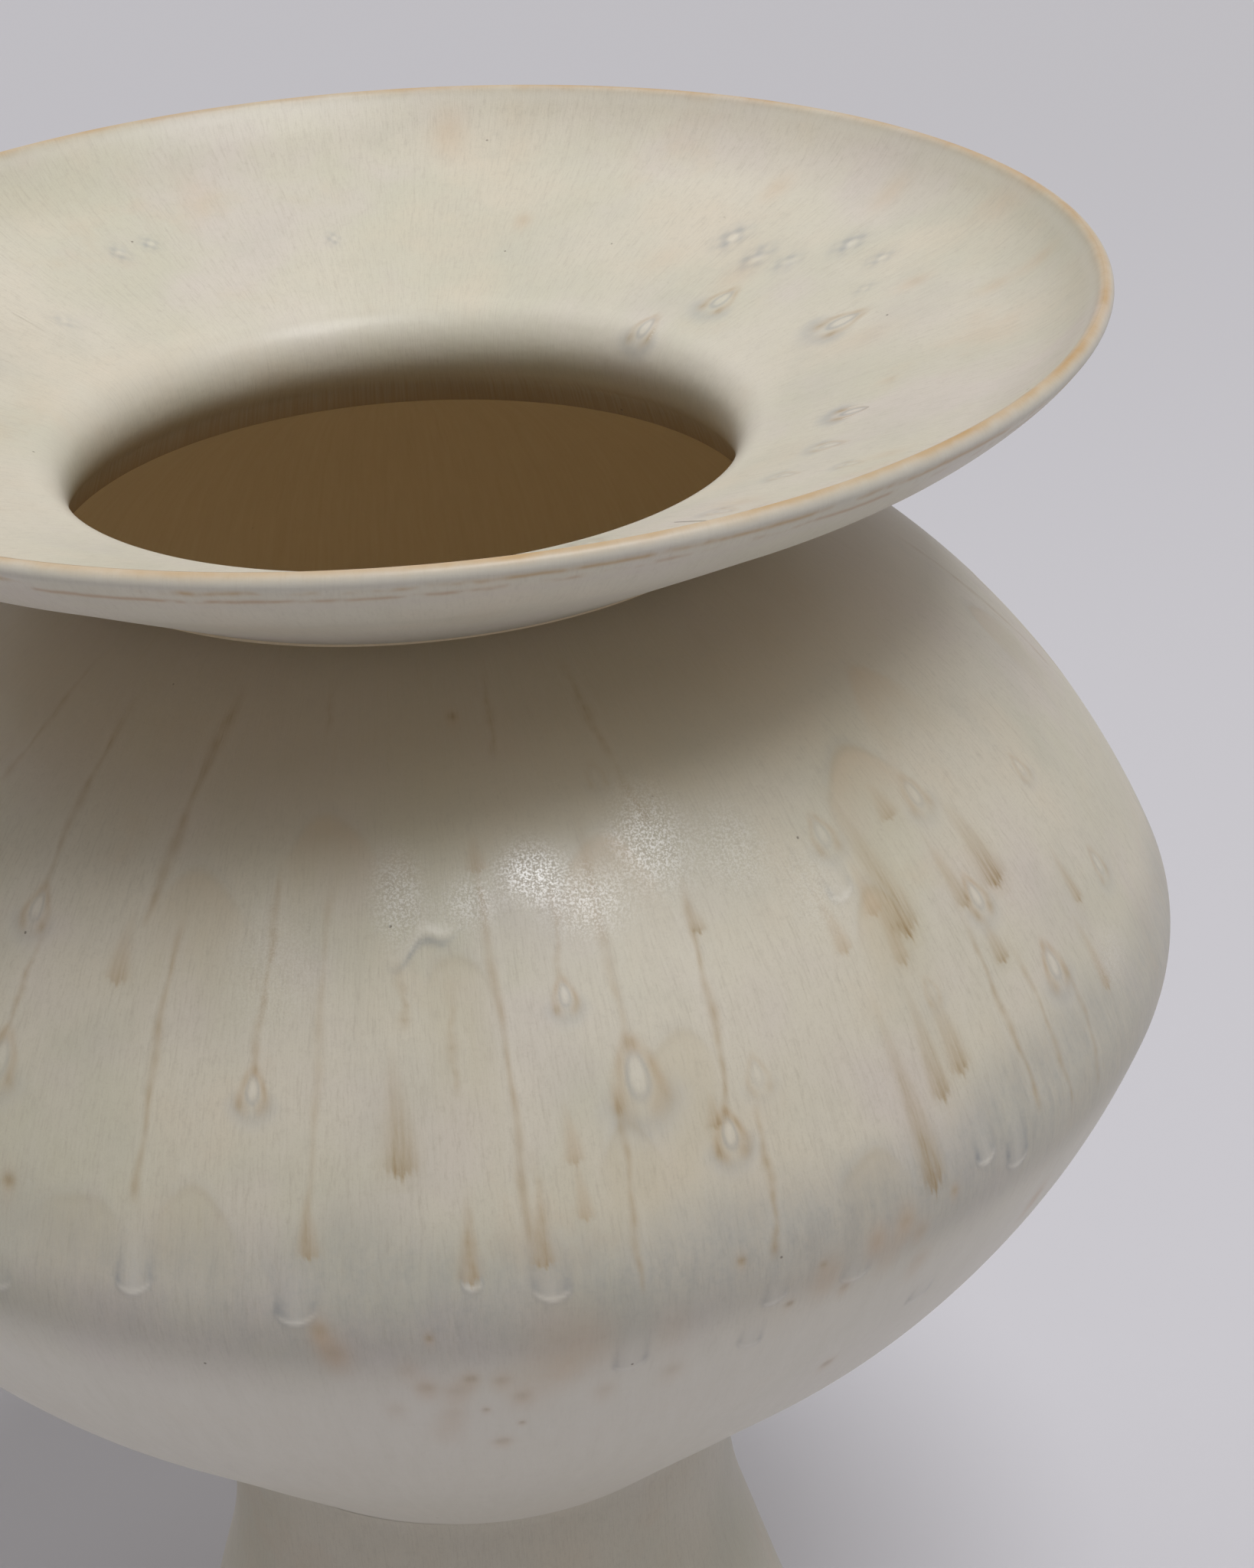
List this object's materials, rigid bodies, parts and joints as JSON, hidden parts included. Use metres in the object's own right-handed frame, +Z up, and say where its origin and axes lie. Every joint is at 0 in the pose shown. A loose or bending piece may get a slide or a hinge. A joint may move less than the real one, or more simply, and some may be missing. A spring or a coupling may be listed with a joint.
{
  "type": "footed ceramic vase",
  "caption": "Ceramic vase: a round body of two joined bowls on a hollow flared foot, with a short neck that opens into a broad dished collar with a thin lip.",
  "frame": {"origin": "centre of the foot ring's underside, where the vase meets what it stands on", "axes": "+Z up along the vase's own axis; the picture looks along +Y, so -Y is its front and +X its right"},
  "size_m": [0.3044, 0.3044, 0.3536],
  "materials": {
    "glaze": "satin"
  },
  "bodies": {
    "root": {"foot": "glaze", "lower_bowl": "glaze", "upper_bowl": "glaze", "neck_collar": "glaze"}
  },
  "joints": []
}
